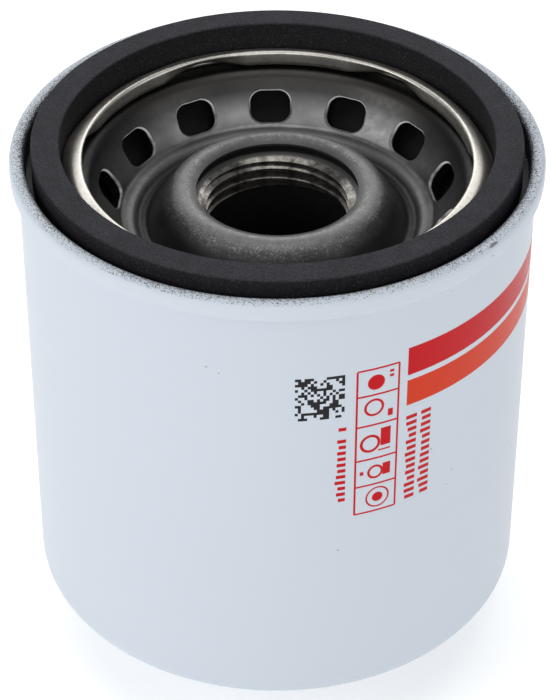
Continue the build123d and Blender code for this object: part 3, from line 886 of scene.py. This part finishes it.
def lobed(radius, height, angle, top, floor, inside):
    """Where a lobe moves a point of the rim: the flange outwards and up, the slope outwards."""
    share = lobe_share(angle)
    drop = (top - height) / (top - floor)
    if inside:
        return radius + FLANGE_PUSH * drop * share, height + FLANGE_LIFT * drop * share
    if radius > FOOT_RADIUS + FOOT_BEND:
        return radius, height
    rise = min(1.0, drop / SLOPE_PUSH_RISE)
    fall = min(1.0, (1.0 - drop) / SLOPE_PUSH_FALL)
    return radius + SLOPE_PUSH * share * rise * fall, height


def formed_lid(material):
    """The lid with its lobes pressed out of the rim's two legs, in one smooth sheet."""
    line, top, floor = lid_line()
    rim_middle = RIM_RADIUS + SHEET / 2 + HEM_BEND
    rows = []
    for radius, height in line:
        row = []
        for j in range(LID_STEPS):
            angle = j * FULL_TURN / LID_STEPS
            reach, level = lobed(radius, height, angle, top, floor, radius < rim_middle)
            turn = math.radians(angle)
            row.append((reach * math.cos(turn), reach * math.sin(turn), level))
        rows.append(row)
    lid = surface("formed_lid", rows)
    sheet = lid.modifiers.new("sheet", "SOLIDIFY")
    sheet.thickness = SHEET * MM
    sheet.offset = 0.0
    lid.data.materials.append(material)
    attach(lid, "housing")
    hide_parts("seaming_lid")


# ---------------------------------------------------------------- the bypass valve's spring


def bypass_coil(material):
    """The bypass spring as a piece of its own: a copy of the CAD spring's mesh, attached to the
    housing.
    """
    coil = bpy.data.objects.new("bypass_coil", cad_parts["bypass_spring"].data.copy())
    coil.data.materials.clear()
    coil.data.materials.append(material)
    bpy.context.scene.collection.objects.link(coil)
    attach(coil, "housing")
    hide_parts("bypass_spring")
    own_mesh(coil)


# ---------------------------------------------------------------- stage, light, camera


def make_stage():
    half = STAGE_SIZE / 2 * MM
    mesh = bpy.data.meshes.new("floor")
    corners = [(-half, -half, 0.0), (half, -half, 0.0), (half, half, 0.0), (-half, half, 0.0)]
    mesh.from_pydata(corners, [], [range(len(corners))])
    floor = bpy.data.objects.new("floor", mesh)
    bpy.context.scene.collection.objects.link(floor)
    mesh.materials.append(stage_paint())


def softbox(name, place, target, size, power):
    """Rectangular lamp of size (width, height) that faces the axis at the target's height."""
    data = bpy.data.lights.new(name, "AREA")
    data.shape = "RECTANGLE"
    data.size = size[0] * MM
    data.size_y = size[1] * MM
    data.energy = power
    lamp = bpy.data.objects.new(name, data)
    bpy.context.scene.collection.objects.link(lamp)
    lamp.location = [c * MM for c in place]
    aim = lamp.location.copy()
    aim.negate()
    aim.z += target * MM
    lamp.rotation_euler = aim.to_track_quat("-Z", "Y").to_euler()


def light_stage():
    world = bpy.data.worlds.new("studio")
    world.use_nodes = True
    background = world.node_tree.nodes["Background"]
    background.inputs["Color"].default_value = SKY_COLOUR
    background.inputs["Strength"].default_value = SKY_STRENGTH
    bpy.context.scene.world = world
    for name, place, target, size, power in SOFTBOXES:
        softbox(name, place, target, size, power)


def place_camera():
    data = bpy.data.cameras.new("camera")
    data.lens = CAMERA_LENS
    data.clip_start = CLIP_START * MM
    camera = bpy.data.objects.new("camera", data)
    bpy.context.scene.collection.objects.link(camera)
    tilt = Matrix.Rotation(math.radians(CAMERA_TILT), 4, "X")
    roll = Matrix.Rotation(math.radians(CAMERA_ROLL), 4, "Z")
    camera.matrix_world = Matrix.Translation([c * MM for c in CAMERA_PLACE]) @ tilt @ roll
    bpy.context.scene.camera = camera


lid_material = lid_finish()
dress_nodes(lid_material)
formed_lid(lid_material)
bypass_coil(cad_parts["bypass_spring"].material_slots[0].material)
make_stage()
light_stage()
place_camera()
bpy.context.scene.view_settings.view_transform = "Standard"
